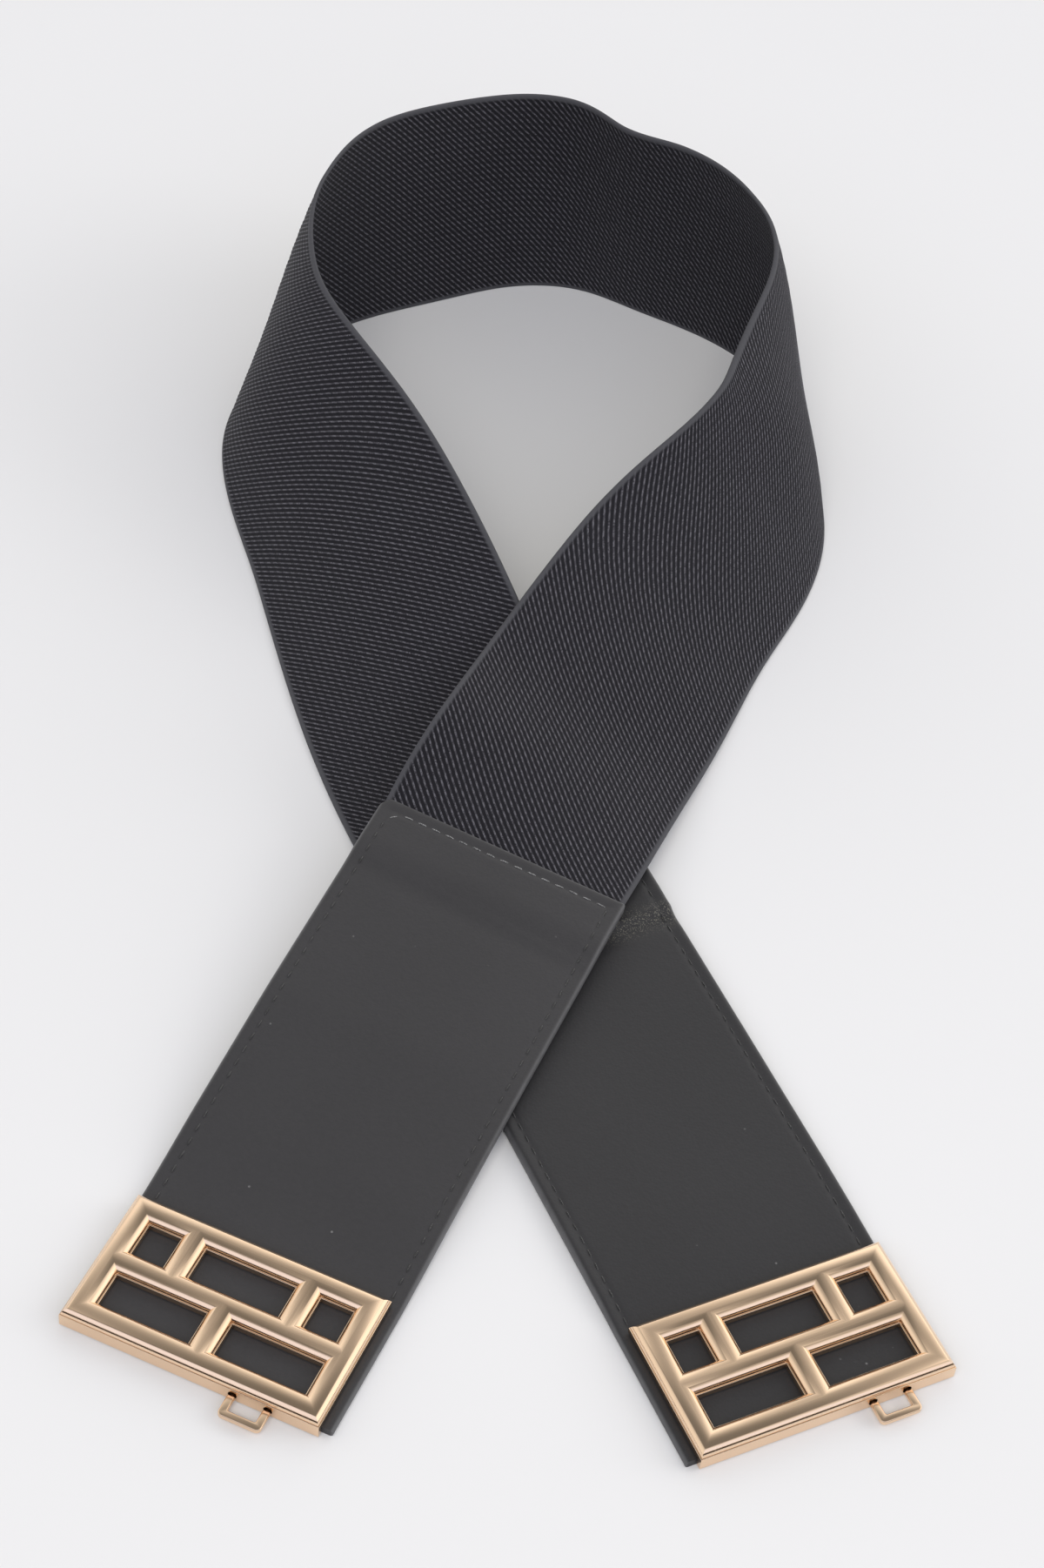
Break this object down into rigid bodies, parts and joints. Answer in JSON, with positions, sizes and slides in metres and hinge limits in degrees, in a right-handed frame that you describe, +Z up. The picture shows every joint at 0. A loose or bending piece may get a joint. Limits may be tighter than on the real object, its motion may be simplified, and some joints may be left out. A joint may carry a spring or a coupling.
{
  "type": "wide elastic stretch belt",
  "caption": "Wide black elastic belt lying in an open crossed loop, with leather end tabs and a two-part gold metal buckle with a plain lattice.",
  "frame": {"origin": "bottom centre of the box round the whole belt as it lies", "axes": "+Z up from the table, +Y from the two buckle halves towards the standing back of the loop, +X right as seen from the buckle side"},
  "size_m": [0.1888, 0.3794, 0.0602],
  "materials": {
    "elastic_black": "woven black elastic with slanting ribs, matte with a faint sheen",
    "leather_black": "smooth charcoal leather, soft sheen, turned and stitched edges",
    "gold_metal": "polished pale rose-gold plating on a casting"
  },
  "bodies": {
    "root": {"elastic_band": "elastic_black", "tab_top": "leather_black", "tab_under": "leather_black", "buckle_frame_top": "gold_metal", "buckle_frame_under": "gold_metal", "clasp_loop_top": "gold_metal", "clasp_loop_under": "gold_metal", "clasp_hook_top": "gold_metal", "clasp_hook_under": "gold_metal"}
  },
  "joints": []
}
